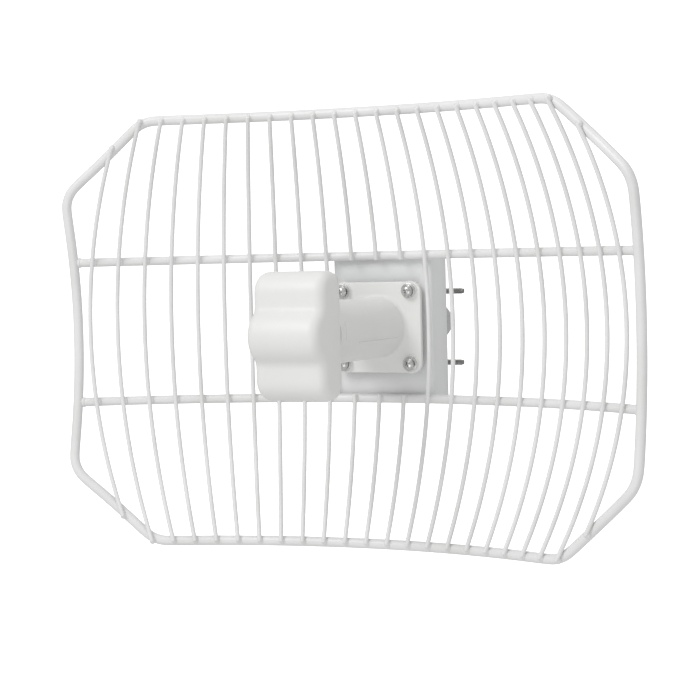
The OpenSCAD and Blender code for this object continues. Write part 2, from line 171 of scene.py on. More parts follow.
def pick_edges(piece, test):
    """Selects the edges whose two ends pass the test together, and goes into edit mode."""
    edit(piece, "EDGE")
    verts = piece.data.vertices
    for e in piece.data.edges:
        e.select = test(verts[e.vertices[0]].co, verts[e.vertices[1]].co)
    bpy.ops.object.mode_set(mode="EDIT")


def pick_faces(piece, test):
    """Selects the faces whose middle and normal pass the test, and goes into edit mode."""
    edit(piece, "FACE")
    for f in piece.data.polygons:
        f.select = test(f.center, f.normal)
    bpy.ops.object.mode_set(mode="EDIT")


def done():
    bpy.ops.object.mode_set(mode="OBJECT")


def apply_place(piece, matrix):
    """Puts the piece's place in its mesh and leaves the object at the origin."""
    only(piece)
    piece.matrix_world = matrix @ piece.matrix_world
    bpy.ops.object.transform_apply(location=True, rotation=True, scale=True)
    return piece


def modify(piece, kind, **settings):
    """Adds a modifier with its settings and applies it."""
    only(piece)
    modifier = piece.modifiers.new(kind.title(), kind)
    for key, value in settings.items():
        setattr(modifier, key, value)
    bpy.ops.object.modifier_apply(modifier=modifier.name)
    return piece


def soften(piece, width, segments=2, angle=35):
    """Rounds the edges that are sharper than the angle."""
    modify(
        piece, "BEVEL", width=width, segments=segments, limit_method="ANGLE",
        angle_limit=math.radians(angle), use_clamp_overlap=True, miter_outer="MITER_ARC",
    )
    return piece


def smooth(piece, angle=35):
    only(piece)
    bpy.ops.object.shade_smooth_by_angle(angle=math.radians(angle))
    return piece


def cut_with(piece, cutter, operation="DIFFERENCE"):
    """Cuts, joins or crosses piece with another solid, which is used up."""
    modify(piece, "BOOLEAN", object=cutter, operation=operation, solver="EXACT")
    bpy.data.objects.remove(cutter)
    return piece


def join(pieces, name):
    """Joins several pieces into one mesh."""
    bpy.ops.object.select_all(action="DESELECT")
    for p in pieces:
        p.select_set(True)
    bpy.context.view_layer.objects.active = pieces[0]
    if len(pieces) > 1:
        bpy.ops.object.join()
    pieces[0].name = name
    pieces[0].data.name = name
    return pieces[0]


def copy_of(piece, matrix=Matrix()):
    """Another piece with its own mesh, moved by matrix."""
    other = piece.copy()
    other.data = piece.data.copy()
    bpy.context.scene.collection.objects.link(other)
    return apply_place(other, matrix)


def cylinder(radius, length, place=Matrix(), sides=48):
    """A cylinder along its own Z that starts at the place's origin."""
    bpy.ops.mesh.primitive_cylinder_add(vertices=sides, radius=radius, depth=length)
    made = bpy.context.active_object
    return apply_place(made, place @ Matrix.Translation((0, 0, length / 2)))


def block(size, place=Matrix()):
    """A box centred on the place's origin."""
    bpy.ops.mesh.primitive_cube_add(size=1)
    made = bpy.context.active_object
    return apply_place(made, place @ Matrix.Diagonal((*size, 1)))


def lathe(rings, place=Matrix(), sides=64):
    """A turned solid: a disc that is extruded and resized ring by ring, as (height, radius) pairs."""
    (z0, r0), rest = rings[0], rings[1:]
    bpy.ops.mesh.primitive_circle_add(vertices=sides, radius=r0, fill_type="NGON", location=(0, 0, z0))
    made = bpy.context.active_object
    bpy.ops.object.transform_apply(location=True)
    edit(made, "FACE")
    bpy.ops.object.mode_set(mode="EDIT")
    bpy.ops.mesh.select_all(action="SELECT")
    z, r = z0, r0
    for z_next, r_next in rest:
        bpy.ops.mesh.extrude_region_move(TRANSFORM_OT_translate={"value": (0, 0, z_next - z)})
        share = r_next / r
        bpy.ops.transform.resize(value=(share, share, 1), center_override=(0, 0, z_next))
        z, r = z_next, r_next
    bpy.ops.mesh.select_all(action="SELECT")
    bpy.ops.mesh.normals_make_consistent(inside=False)
    done()
    return apply_place(made, place)


def arc_rings(z, r, radius, start, end, steps):
    """Rings along a quarter bend about the point (z, r), from one angle to another in degrees."""
    angles = [math.radians(start + (end - start) * k / steps) for k in range(steps + 1)]
    return [(z + radius * math.sin(a), r + radius * math.cos(a)) for a in angles]


def bent_rod(diameter, bend_r, start, end, place, sides=16, step=8 * MM):
    """A rod with rounded ends on an arc of radius bend_r in the XY plane. The arc passes through the
    origin along X, and turns towards +Y; start and end are its angles from there."""
    length = bend_r * (end - start)
    rod = cylinder(diameter / 2, length, X_AXIS @ Matrix.Translation((0, 0, -length / 2)), sides)
    half = length / 2 - MM * 0.01
    pick_edges(rod, lambda a, b: abs(a.x) > half and abs(b.x) > half and a.x * b.x > 0)
    bpy.ops.mesh.bevel(offset=diameter * 0.3, segments=3)
    done()
    pick_edges(rod, lambda a, b: a.x * b.x < 0)
    bpy.ops.mesh.subdivide(number_cuts=max(4, int(length / step)))
    done()
    modify(rod, "SIMPLE_DEFORM", deform_method="BEND", deform_axis="Z", angle=end - start)
    centre = Matrix.Translation((0, bend_r, 0))
    turn = centre @ Matrix.Rotation((start + end) / 2, 4, "Z") @ centre.inverted()
    return apply_place(rod, place @ turn)


def thread(radius, pitch, length, place, sides=20):
    """A screw thread's ridge along its own Z, from the place's origin."""
    depth = 0.6 * pitch
    bpy.ops.mesh.primitive_circle_add(vertices=3, radius=depth, rotation=(math.pi / 2, 0, math.pi))
    ridge = bpy.context.active_object
    bpy.ops.object.transform_apply(rotation=True)
    outer = max(v.co.x for v in ridge.data.vertices)
    inner = min(v.co.x for v in ridge.data.vertices)
    if outer < -inner:
        ridge.matrix_world = Matrix.Rotation(math.pi, 4, "Z")
        outer = -inner
    ridge.matrix_world = Matrix.Translation((radius - outer, 0, 0)) @ ridge.matrix_world
    only(ridge)
    bpy.ops.object.transform_apply()
    turns = int(length / pitch)
    modify(
        ridge, "SCREW", angle=math.tau * turns, screw_offset=pitch * turns,
        steps=sides * turns, render_steps=sides * turns, axis="Z",
    )
    edit(ridge)
    bpy.ops.object.mode_set(mode="EDIT")
    bpy.ops.mesh.select_all(action="SELECT")
    bpy.ops.mesh.normals_make_consistent(inside=False)
    done()
    return apply_place(ridge, place)


def hexagon(radius, height, place=Matrix(), chamfer=0.09):
    """A hexagonal prism along Z, with chamfered corners, from the place's origin. Radius is to a corner."""
    bpy.ops.mesh.primitive_cylinder_add(vertices=6, radius=radius, depth=height)
    prism = bpy.context.active_object
    end_r, side_r = radius * (1 - chamfer), radius * 1.01
    rings = [(0, end_r), (height * 0.16, side_r), (height * 0.84, side_r), (height, end_r)]
    apply_place(prism, Matrix.Translation((0, 0, height / 2)))
    cut_with(prism, lathe(rings, sides=48), "INTERSECT")
    soften(prism, 0.12 * MM, 1, 25)
    return apply_place(prism, place)


def from_node(node, width, segments=2, angle=35, flat=1):
    """A clean copy of a CAD node with its edges broken."""
    source = frame["nodes"][node]
    piece = source.copy()
    piece.data = source.data.copy()
    piece.parent = None
    piece.name = node + "_finished"
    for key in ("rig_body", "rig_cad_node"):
        del piece[key]
    bpy.context.scene.collection.objects.link(piece)
    only(piece)
    bpy.ops.object.mode_set(mode="EDIT")
    bpy.ops.mesh.select_all(action="SELECT")
    bpy.ops.mesh.customdata_custom_splitnormals_clear()
    bpy.ops.mesh.remove_doubles(threshold=0.005 * MM)
    bpy.ops.mesh.dissolve_limited(angle_limit=math.radians(flat))
    done()
    if width:
        soften(piece, width, segments, angle)
    return piece


# --- Materials ---


def nodes_of(name):
    """A new material with its tree, its shader and its Object coordinates."""
    material = bpy.data.materials.new(name)
    material.use_nodes = True
    tree = material.node_tree
    shader = tree.nodes["Principled BSDF"]
    place = tree.nodes.new("ShaderNodeTexCoord")
    return material, tree, shader, place.outputs["Object"]


def add(tree, kind, **values):
    """A shader node with its settings; a value for a socket is given under the socket's name."""
    node = tree.nodes.new(kind)
    for key, value in values.items():
        if hasattr(node, key):
            setattr(node, key, value)
        else:
            node.inputs[key.replace("_", " ")].default_value = value
    return node


def noise(tree, vector, scale, detail=4, roughness=0.55):
    node = add(tree, "ShaderNodeTexNoise", Scale=scale, Detail=detail, Roughness=roughness)
    tree.links.new(vector, node.inputs["Vector"])
    return node.outputs["Fac"]


def ramp(tree, factor, low, high, start=0.3, end=0.7):
    """Runs from one colour to another as the factor goes from start to end."""
    node = tree.nodes.new("ShaderNodeValToRGB")
    first, last = node.color_ramp.elements
    first.position, last.position = start, end
    first.color, last.color = (*low, 1), (*high, 1)
    tree.links.new(factor, node.inputs["Fac"])
    return node.outputs["Color"]


def between(tree, factor, low, high, start=0.3, end=0.7):
    """Maps a factor to a range of plain numbers."""
    node = add(tree, "ShaderNodeMapRange")
    for socket, value in zip(("From Min", "From Max", "To Min", "To Max"), (start, end, low, high)):
        node.inputs[socket].default_value = value
    tree.links.new(factor, node.inputs["Value"])
    return node.outputs["Result"]


def bumps(tree, shader, layers):
    """Stacks bump layers, each a (height, strength, distance) triple."""
    normal = None
    for height, strength, distance in layers:
        node = add(tree, "ShaderNodeBump", Strength=strength, Distance=distance)
        tree.links.new(height, node.inputs["Height"])
        if normal:
            tree.links.new(normal, node.inputs["Normal"])
        normal = node.outputs["Normal"]
    tree.links.new(normal, shader.inputs["Normal"])


def powder_coat(name, light, shade, roughness):
    """Polyester powder coat: a faint orange peel and slow changes of thickness."""
    material, tree, shader, place = nodes_of(name)
    slow = noise(tree, place, 14, 5)
    tree.links.new(ramp(tree, slow, shade, light, 0.35, 0.6), shader.inputs["Base Color"])
    fine = noise(tree, place, 420, 2)
    tree.links.new(between(tree, slow, roughness + 0.08, roughness - 0.05), shader.inputs["Roughness"])
    bumps(tree, shader, [(fine, 0.25, 0.12 * MM), (noise(tree, place, 90, 2), 0.15, 0.3 * MM)])
    shader.inputs["Coat Weight"].default_value = 0.12
    shader.inputs["Coat Roughness"].default_value = 0.3
    return material


def moulded(name, light, shade, roughness, grain=900):
    """Moulded plastic with a spark-eroded grain, faint flow marks and handling marks."""
    material, tree, shader, place = nodes_of(name)
    slow = noise(tree, place, 9, 4)
    tree.links.new(ramp(tree, slow, shade, light, 0.35, 0.62), shader.inputs["Base Color"])
    scuff = noise(tree, place, 60, 8, 0.7)
    tree.links.new(between(tree, scuff, roughness - 0.05, roughness + 0.09), shader.inputs["Roughness"])
    bumps(tree, shader, [(noise(tree, place, grain, 2), 0.22, 0.08 * MM), (slow, 0.1, 0.5 * MM)])
    shader.inputs["Subsurface Weight"].default_value = 0.08
    shader.inputs["Subsurface Radius"].default_value = (0.004, 0.004, 0.0035)
    shader.inputs["Subsurface Scale"].default_value = 0.4
    return material


def plated(name, light, shade, roughness, scale=300):
    """A thin metal plate over metal, with a cloudy finish and fine wear."""
    material, tree, shader, place = nodes_of(name)
    cloud = noise(tree, place, scale, 6, 0.6)
    tree.links.new(ramp(tree, cloud, shade, light, 0.3, 0.65), shader.inputs["Base Color"])
    shader.inputs["Metallic"].default_value = 1
    tree.links.new(between(tree, cloud, roughness + 0.12, roughness), shader.inputs["Roughness"])
    bumps(tree, shader, [(noise(tree, place, 1500, 3), 0.2, 0.05 * MM)])
    return material


def galvanised(name):
    """Hot-dip galvanised sheet: crystal spangles, each with its own tone and gloss."""
    material, tree, shader, place = nodes_of(name)
    spangle = add(tree, "ShaderNodeTexVoronoi", Scale=130)
    warp = noise(tree, place, 60, 3)
    tree.links.new(place, spangle.inputs["Vector"])
    tone = add(tree, "ShaderNodeSeparateColor")
    tree.links.new(spangle.outputs["Color"], tone.inputs["Color"])
    colour = ramp(tree, tone.outputs[0], (0.4, 0.42, 0.44), (0.62, 0.64, 0.66), 0.1, 0.9)
    tree.links.new(colour, shader.inputs["Base Color"])
    shader.inputs["Metallic"].default_value = 1
    tree.links.new(between(tree, tone.outputs[1], 0.32, 0.55, 0, 1), shader.inputs["Roughness"])
    bumps(tree, shader, [(warp, 0.2, 0.1 * MM), (noise(tree, place, 900, 3), 0.15, 0.05 * MM)])
    return material


def cast(name):
    """Die-cast aluminium with a shot-blasted skin."""
    material, tree, shader, place = nodes_of(name)
    grit = noise(tree, place, 700, 6, 0.7)
    tree.links.new(ramp(tree, grit, (0.42, 0.43, 0.44), (0.62, 0.63, 0.64)), shader.inputs["Base Color"])
    shader.inputs["Metallic"].default_value = 0.9
    tree.links.new(between(tree, grit, 0.6, 0.42), shader.inputs["Roughness"])
    bumps(tree, shader, [(grit, 0.5, 0.12 * MM)])
    return material


def rubber(name):
    """Black moulded rubber with a dusty bloom."""
    material, tree, shader, place = nodes_of(name)
    bloom = noise(tree, place, 120, 6, 0.65)
    colour = ramp(tree, bloom, (0.025, 0.025, 0.027), (0.07, 0.07, 0.072))
    tree.links.new(colour, shader.inputs["Base Color"])
    tree.links.new(between(tree, bloom, 0.6, 0.85), shader.inputs["Roughness"])
    bumps(tree, shader, [(noise(tree, place, 1100, 3), 0.3, 0.08 * MM)])
    return material


def board(name):
    """Solder mask over glass fibre: copper tracks show as a lighter, raised pattern."""
    material, tree, shader, place = nodes_of(name)
    tracks = add(tree, "ShaderNodeTexBrick", Scale=90, Mortar_Size=0.03)
    tree.links.new(place, tracks.inputs["Vector"])
    colour = ramp(tree, tracks.outputs["Fac"], (0.01, 0.12, 0.05), (0.03, 0.3, 0.13), 0.2, 0.8)
    tree.links.new(colour, shader.inputs["Base Color"])
    shader.inputs["Roughness"].default_value = 0.35
    grain = noise(tree, place, 800, 2)
    bumps(tree, shader, [(tracks.outputs["Fac"], 0.4, 0.05 * MM), (grain, 0.1, 0.03 * MM)])
    return material


def light_guide(name):
    """A clouded clear plastic."""
    material, tree, shader, place = nodes_of(name)
    cloud = noise(tree, place, 200, 4)
    tree.links.new(ramp(tree, cloud, (0.66, 0.7, 0.74), (0.8, 0.83, 0.85)), shader.inputs["Base Color"])
    shader.inputs["Transmission Weight"].default_value = 0.5
    tree.links.new(between(tree, cloud, 0.2, 0.35), shader.inputs["Roughness"])
    bumps(tree, shader, [(cloud, 0.15, 0.05 * MM)])
    return material


COAT = powder_coat("white_powder_coat", (0.8, 0.805, 0.8), (0.74, 0.745, 0.735), 0.36)
SHEET = powder_coat("bracket_powder_coat", (0.79, 0.8, 0.8), (0.75, 0.755, 0.75), 0.42)
SHELL = moulded("warm_white_moulding", (0.8, 0.802, 0.785), (0.77, 0.772, 0.755), 0.42)
GREY = moulded("grey_moulding", (0.55, 0.555, 0.56), (0.48, 0.485, 0.49), 0.45)
ZINC = plated("bright_zinc", (0.82, 0.82, 0.82), (0.6, 0.61, 0.62), 0.2)
# Painted shade: a darker, strongly mottled copy of the bright zinc. It stands in for the shade in the
# screws' recesses and under their rims.
SCREW_ZINC = plated("shade_darkened_zinc", (0.74, 0.74, 0.73), (0.4, 0.4, 0.4), 0.2, 500)
# Painted shade: zinc darkened nearly to black. It stands in for the shade among the U-bolt threads and in
# the spring washers.
DULL_ZINC = plated("shade_blackened_zinc", (0.34, 0.34, 0.33), (0.13, 0.13, 0.13), 0.34, 180)
TIN = plated("tinned_sheet", (0.75, 0.75, 0.74), (0.6, 0.6, 0.59), 0.28, 120)
BRASS = plated("brass_strip", (0.78, 0.62, 0.32), (0.6, 0.45, 0.2), 0.3, 150)
GALVANISED = galvanised("galvanised_sheet")
CAST = cast("die_cast_aluminium")
RUBBER = rubber("black_rubber")
BOARD = board("green_circuit_board")
GUIDE = light_guide("light_guide")


def dress(piece, material):
    piece.data.materials.clear()
    piece.data.materials.append(material)
    return piece


def settle(piece, name, material, body, slot, *nodes, angle=35):
    """Names a finished piece, gives it its finish and puts it on its body in place of its CAD nodes."""
    piece.name = name
    piece.data.name = name
    dress(smooth(piece, angle), material)
    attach(piece, body)
    if nodes:
        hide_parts(*nodes)
    return piece


# --- Camera, light and stage ---


def rise(s):
    """How far the dish comes forward at a distance s from its middle."""
    return DISH_R - math.sqrt(DISH_R * DISH_R - s * s)


def make_camera():
    """Level, two metres off, to the right of the beam."""
    height = -24.4 * MM
    bpy.ops.object.camera_add(location=(957.75 * MM, -1914.4 * MM, height))
    camera = bpy.context.active_object
    aim = Vector((45.65 * MM, -93 * MM, height)) - camera.location
    camera.rotation_euler = aim.to_track_quat("-Z", "Y").to_euler()
    camera.data.lens = 104.76
    camera.data.sensor_width = 36
    bpy.context.scene.camera = camera


def area_light(name, place, aim, size, power):
    bpy.ops.object.light_add(type="AREA", location=place)
    light = bpy.context.active_object
    light.name = name
    light.data.size = size
    light.data.energy = power
    light.rotation_euler = (Vector(aim) - Vector(place)).to_track_quat("-Z", "Y").to_euler()


def make_stage():
    """A pale floor that sweeps up all round into a backdrop, in soft light from the front and above."""
    floor_z, flat_r, bend, top_z = -0.9, 3.5, 1.5, 4.0
    rings = [(floor_z, flat_r)]
    for k in range(1, 13):
        a = math.pi / 2 * k / 12
        rings.append((floor_z + bend * (1 - math.cos(a)), flat_r + bend * math.sin(a)))
    rings.append((top_z, flat_r + bend))
    sweep = lathe(rings, sides=96)
    pick_faces(sweep, lambda centre, normal: centre.z > top_z - 0.01)
    bpy.ops.mesh.delete(type="FACE")
    done()
    sweep.name = "studio_sweep"
    material, tree, shader, place = nodes_of("studio_white")
    shader.inputs["Base Color"].default_value = (0.9, 0.9, 0.9, 1)
    shader.inputs["Roughness"].default_value = 0.9
    shader.inputs["Emission Color"].default_value = (1, 1, 1, 1)
    shader.inputs["Emission Strength"].default_value = 0.9
    dress(smooth(sweep), material)
    sweep.visible_diffuse = False
    sweep.visible_glossy = False
    sweep.visible_shadow = False
    world = bpy.data.worlds.new("studio")
    bpy.context.scene.world = world
    world.use_nodes = True
    world.node_tree.nodes["Background"].inputs["Color"].default_value = (1, 1, 1, 1)
    world.node_tree.nodes["Background"].inputs["Strength"].default_value = 0.62
    bpy.context.scene.view_settings.view_transform = "Standard"
    centre = (dish_x, -0.1, 0)
    area_light("key", (-0.7, -2.4, 1.7), centre, 1.4, 29)
    area_light("top", (0.3, -0.2, 2.4), centre, 1.6, 8)
    area_light("fill", (0.7, -2.2, -1.3), centre, 1.8, 11)


make_camera()
make_stage()

# --- The welded grid ---


def wire_height(x, z=LEAN_AT, tries=8):
    """The height at which a wire meets the rim's middle line."""
    if tries == 0:
        return z
    lean = abs(x * (1 - WIRE_LEAN * (z / LEAN_AT) ** 2))
    run = max(0, lean - CORNER_X) / (RIM_X - CORNER_X)
    return wire_height(x, RIM_Z - run * (RIM_Z - CORNER_Z), tries - 1)


def wire_arc(number):
    """A wire's plane, bend radius and half angle. The plane's X runs up the wire, Y towards the beam."""
    x = DISH_R * math.sin((number - MID) / (MID - 1) * math.asin((RIM_X - WIRE_EDGE) / DISH_R))
    top = wire_height(x)
    x_top = x * (1 - WIRE_LEAN * (top / LEAN_AT) ** 2)
    start = Vector((x, -rise(x), 0))
    lean = Vector((x_top, -rise(x_top) - rise(top), 0)) - start
    sag = lean.length
    bend_r = (top * top + sag * sag) / (2 * sag)
    forward = lean / sag
    across = Vector((0, 0, 1)).cross(forward)
    axes = Matrix((Vector((0, 0, 1)), forward, across)).transposed().to_4x4()
    return Matrix.Translation(start) @ axes, bend_r, math.asin(top / bend_r)


def on_wire(number, z):
    """The point of a wire's middle line at a height."""
    plane, bend_r, _ = wire_arc(number)
    return plane @ Vector((z, bend_r - math.sqrt(bend_r * bend_r - z * z), 0))


def make_wires():
    for number in range(1, WIRES + 1):
        plane, bend_r, half = wire_arc(number)
        low = math.asin((BAR_Z - BAR_D / 2) / bend_r)
        spans = [(-half, -low), (low, half)] if abs(number - MID) <= CUT_WIRES else [(-half, half)]
        rods = [bent_rod(WIRE_D, bend_r, a, b, DISH @ plane) for a, b in spans]
        node = f"wire_{number:02d}"
        settle(join(rods, node), node + "_rod", COAT, "reflector", "coated_wire", node)


bar_r = DISH_R + (BAR_D + WIRE_D) / 2 + WELD_GAP
rim_r = DISH_R + (RIM_D + WIRE_D) / 2 + WELD_GAP


def bar_y(x):
    """Where a cross bar's middle line lies at a distance x from the middle."""
    return -DISH_R - rise(BAR_Z) + math.sqrt(bar_r * bar_r - x * x)


def make_bars():
    half = math.asin(RIM_X / rim_r) - (RIM_D / 2 + WELD_GAP) / bar_r
    for side, node in ((1, "upper_bar"), (-1, "lower_bar")):
        axes = Matrix((Vector((1, 0, 0)), Vector((0, -1, 0)), Vector((0, 0, -1)))).transposed().to_4x4()
        place = DISH @ Matrix.Translation((0, bar_y(0), side * BAR_Z)) @ axes
        bar = bent_rod(BAR_D, bar_r, -half, half, place, 24, 12 * MM)
        settle(bar, node + "_rod", COAT, "reflector", "coated_wire", node)


def make_rim():
    """The rim rod, from its CAD node's rings: quads, then smooth."""
    rim = from_node("rim_frame", 0, flat=0)
    only(rim)
    bpy.ops.object.mode_set(mode="EDIT")
    bpy.ops.mesh.select_all(action="SELECT")
    bpy.ops.mesh.tris_convert_to_quads(face_threshold=math.radians(24), shape_threshold=math.pi)
    bpy.ops.transform.shrink_fatten(value=0.066 * RIM_D / 2)
    done()
    modify(rim, "SUBSURF", levels=2, render_levels=2)
    settle(rim, "rim_rod", COAT, "reflector", "coated_wire", "rim_frame", angle=80)


def weld(place, along, length, width, height):
    """The coat's smooth run over one weld: a flattened bead that lies along the wire."""
    bpy.ops.mesh.primitive_uv_sphere_add(segments=12, ring_count=8, radius=1)
    bead = bpy.context.active_object
    across = Vector((1, 0, 0))
    outward = along.cross(across).normalized()
    turn = Matrix((across, outward, along.normalized())).transposed().to_4x4()
    size = Matrix.Diagonal((width, height, length, 1))
    return apply_place(bead, Matrix.Translation(place) @ turn @ size)


def make_welds():
    beads = []
    for number in range(1, WIRES + 1):
        plane, bend_r, half = wire_arc(number)
        for side in (-1, 1):
            p = on_wire(number, side * BAR_Z)
            q = Vector((p.x, bar_y(p.x), side * BAR_Z))
            along = on_wire(number, side * BAR_Z + 2 * MM) - p
            beads.append(weld(p.lerp(q, 0.42), along, 4.2 * MM, 3.1 * MM, 3.2 * MM))
            top = bend_r * math.sin(half) * side
            p = on_wire(number, top * 0.995)
            behind = Vector((rise(p.x + MM) - rise(p.x), MM, 0)).normalized()
            beads.append(weld(p + behind * 3 * MM, along, 3.6 * MM, 3 * MM, 3.2 * MM))
    up = Vector((0, 0, 1))
    for side in (-1, 1):
        for z in (-BAR_Z, BAR_Z):
            x = side * (RIM_X - RIM_D * 0.55)
            beads.append(weld(Vector((x, bar_y(x), z)), up, 5.2 * MM, 3 * MM, 5 * MM))
            x = side * BRACKET_HALF
            beads.append(weld(Vector((x, bar_y(x) + 4 * MM, z)), up, 3.6 * MM, 7 * MM, 1.8 * MM))
    beads = join(beads, "weld_beads")
    apply_place(beads, DISH)
    settle(beads, "weld_beads", COAT, "reflector", "coated_wire", angle=180)


make_wires()
make_bars()
make_rim()
make_welds()

# --- The feed ---

AHEAD = Matrix.Rotation(math.pi / 2, 4, "X")
SCREW_SQUARE = [(x, z) for x in (-SCREW_HALF, SCREW_HALF) for z in (-SCREW_HALF, SCREW_HALF)]


def ahead(y):
    """Turns a shape's own Z towards the beam, from a place y on the feed's axis."""
    return Matrix.Translation((0, y, 0)) @ AHEAD


def back(y):
    """Turns a shape's own Z away from the beam, from a place y on the feed's axis."""
    return Matrix.Translation((0, y, 0)) @ Y_AXIS


def side_outline():
    """The head's outline from the side, as (how far ahead of the head's back, height) points.

    Each arc runs on from the last one: back corner, lobe, crease and ridge."""
    top = HEAD_H / 2
    crease_y = LOBE_AHEAD + CREASE_R
    ridge_y = RIDGE_AHEAD - RIDGE_R
    crease_z = math.sqrt((CREASE_R + RIDGE_R) ** 2 - (crease_y - ridge_y) ** 2)
    meet = math.degrees(math.atan2(crease_z, crease_y - ridge_y))
    arcs = (
        (HEAD_BACK_R, top - HEAD_BACK_R, HEAD_BACK_R, 180, 90, 8),
        (LOBE_AHEAD - LOBE_R, top - LOBE_R, LOBE_R, 90, 0, 10),
        (crease_y, crease_z, CREASE_R, 180, 180 + meet, 6),
        (ridge_y, 0, RIDGE_R, meet, 0, 8),
    )
    upper = []
    for y, z, radius, start, end, steps in arcs:
        for k in range(steps + 1):
            a = math.radians(start + (end - start) * k / steps)
            upper.append((y + radius * math.cos(a), z + radius * math.sin(a)))
    points = [upper[0]]
    for point in upper[1:]:
        if math.dist(point, points[-1]) > 0.05 * MM:
            points.append(point)
    return points + [(y, -z) for y, z in reversed(points[:-1])]


def make_head():
    """The whole head, in the dish frame: its side outline drawn out sideways, its sides rounded."""
    outline = side_outline()
    bpy.ops.mesh.primitive_circle_add(vertices=len(outline), radius=HEAD_H / 2, fill_type="NGON")
    form = bpy.context.active_object
    for v, (y, z) in zip(form.data.vertices, outline):
        v.co = (-HEAD_W / 2, HEAD_BACK - y, z)
    edit(form, "FACE")
    bpy.ops.object.mode_set(mode="EDIT")
    bpy.ops.mesh.select_all(action="SELECT")
    bpy.ops.mesh.extrude_region_move(TRANSFORM_OT_translate={"value": (HEAD_W, 0, 0)})
    bpy.ops.mesh.select_all(action="SELECT")
    bpy.ops.mesh.normals_make_consistent(inside=False)
    done()
    pick_edges(form, lambda a, b: a.x * b.x > 0)
    bpy.ops.mesh.bevel(offset=HEAD_SIDE_R, segments=8, clamp_overlap=True)
    done()
    return form


def half_of(form, y, keep_front):
    """The part of a form on one side of a plane across the feed's axis, closed, with a broken edge."""
    part = copy_of(form)
    edit(part)
    bpy.ops.object.mode_set(mode="EDIT")
    bpy.ops.mesh.select_all(action="SELECT")
    bpy.ops.mesh.bisect(
        plane_co=(0, y, 0), plane_no=(0, 1, 0), use_fill=True,
        clear_outer=keep_front, clear_inner=not keep_front,
    )
    done()
    pick_edges(part, lambda a, b: abs(a.y - y) < 0.01 * MM and abs(b.y - y) < 0.01 * MM)
    bpy.ops.mesh.bevel(offset=0.3 * MM, segments=2)
    done()
    return part


def skin_patch(size, place, height):
    """A patch of a given size that stands a little proud of the feed's tube."""
    patch = lathe([(20 * MM, TUBE_R + height), (145 * MM, TUBE_R + height)], AHEAD, 96)
    cut_with(patch, block(size, place), "INTERSECT")
    return patch


def make_housing(form):
    """Flange, bosses, tube and the back of the head: one moulding."""
    seat = -FLANGE_FRONT - 0.2 * MM
    foot, neck = TUBE_R + TUBE_FOOT_R, TUBE_R + TUBE_NECK_R
    rings = [(-7 * MM, foot), (seat, foot)]
    rings += arc_rings(seat + TUBE_FOOT_R, foot, TUBE_FOOT_R, -90, -180, 8)[1:]
    rings += arc_rings(-HEAD_BACK - TUBE_NECK_R, neck, TUBE_NECK_R, -180, -270, 6)
    rings += [(-HEAD_BACK + MM, neck)]
    middle_y = FLANGE_FRONT + FLANGE_T / 2
    flange = block((FLANGE_W, FLANGE_T, FLANGE_H), Matrix.Translation((0, middle_y, 0)))
    pick_edges(flange, lambda a, b: abs(a.y - b.y) > FLANGE_T / 2)
    bpy.ops.mesh.bevel(offset=10 * MM, segments=10)
    done()
    soften(flange, 1.1 * MM, 3)
    housing = half_of(form, HEAD_SPLIT + SEAM / 2, False)
    cut_with(housing, lathe(rings, AHEAD, 96), "UNION")
    cut_with(housing, flange, "UNION")
    for x, z in SCREW_SQUARE:
        boss = [(3 * MM, 9 * MM)] + arc_rings(6.5 * MM, 9.5 * MM, 1.5 * MM, -90, -180, 3)
        boss += arc_rings(7.2 * MM, 7.2 * MM, 0.8 * MM, 0, 90, 3)
        cut_with(housing, lathe(boss, Matrix.Translation((x, 0, z)) @ AHEAD, 40), "UNION")
    panel_place = Matrix.Translation((TUBE_R, -91 * MM, 2 * MM))
    panel = skin_patch((20 * MM, 84 * MM, 17 * MM), panel_place, 0.35 * MM)
    cut_with(housing, panel, "UNION")
    ridge_place = Matrix.Rotation(math.radians(19), 4, "Y") @ Matrix.Translation((TUBE_R, -60 * MM, 0))
    ridge = skin_patch((8 * MM, 88 * MM, 0.9 * MM), ridge_place, 0.6 * MM)
    cut_with(housing, ridge, "UNION")
    pocket = block((7.6 * MM, 34.6 * MM, 6 * MM), Matrix.Translation((0, -62 * MM, -TUBE_R)))
    cut_with(housing, pocket)
    return housing


def make_screw():
    """A pan-head screw with a cross recess. Its head stands on the origin and its tip points to -Z."""
    crown, top = 6.8 * MM, 4.2 * MM
    core_l = 29.3 * MM
    radii = [5.5, 5.2, 4.7, 4.0, 3.1, 2.1, 1.0]
    rings = [(0, 5.2 * MM), (0.3 * MM, 5.5 * MM)]
    rings += [(top - crown + math.sqrt(crown**2 - (r * MM) ** 2), r * MM) for r in radii]
    head = lathe(rings, sides=48)
    for turn in (0, math.pi / 2):
        place = Matrix.Rotation(turn, 4, "Z") @ Matrix.Translation((0, 0, top))
        wing = block((7.4 * MM, 1.7 * MM, 4.4 * MM), place)
        pick_verts(wing, lambda co: co.z < top)
        bpy.ops.transform.resize(value=(0.45, 0.45, 1), center_override=(0, 0, top))
        done()
        cut_with(head, wing)
    core = cylinder(2.1 * MM, core_l, Matrix.Translation((0, 0, -core_l)), 24)
    soften(core, 0.4 * MM, 2)
    ridge = thread(2.5 * MM, 0.8 * MM, 18 * MM, Matrix.Translation((0, 0, 0.5 * MM - core_l)))
    return join([head, core, ridge], "screw")


def washer(outer, inner, thick, place=Matrix()):
    """A flat washer along Z from the place's origin."""
    ring = cylinder(outer, thick, sides=48)
    cut_with(ring, cylinder(inner, thick * 3, Matrix.Translation((0, 0, -thick)), 40))
    soften(ring, 0.15 * MM, 2)
    return apply_place(ring, place)


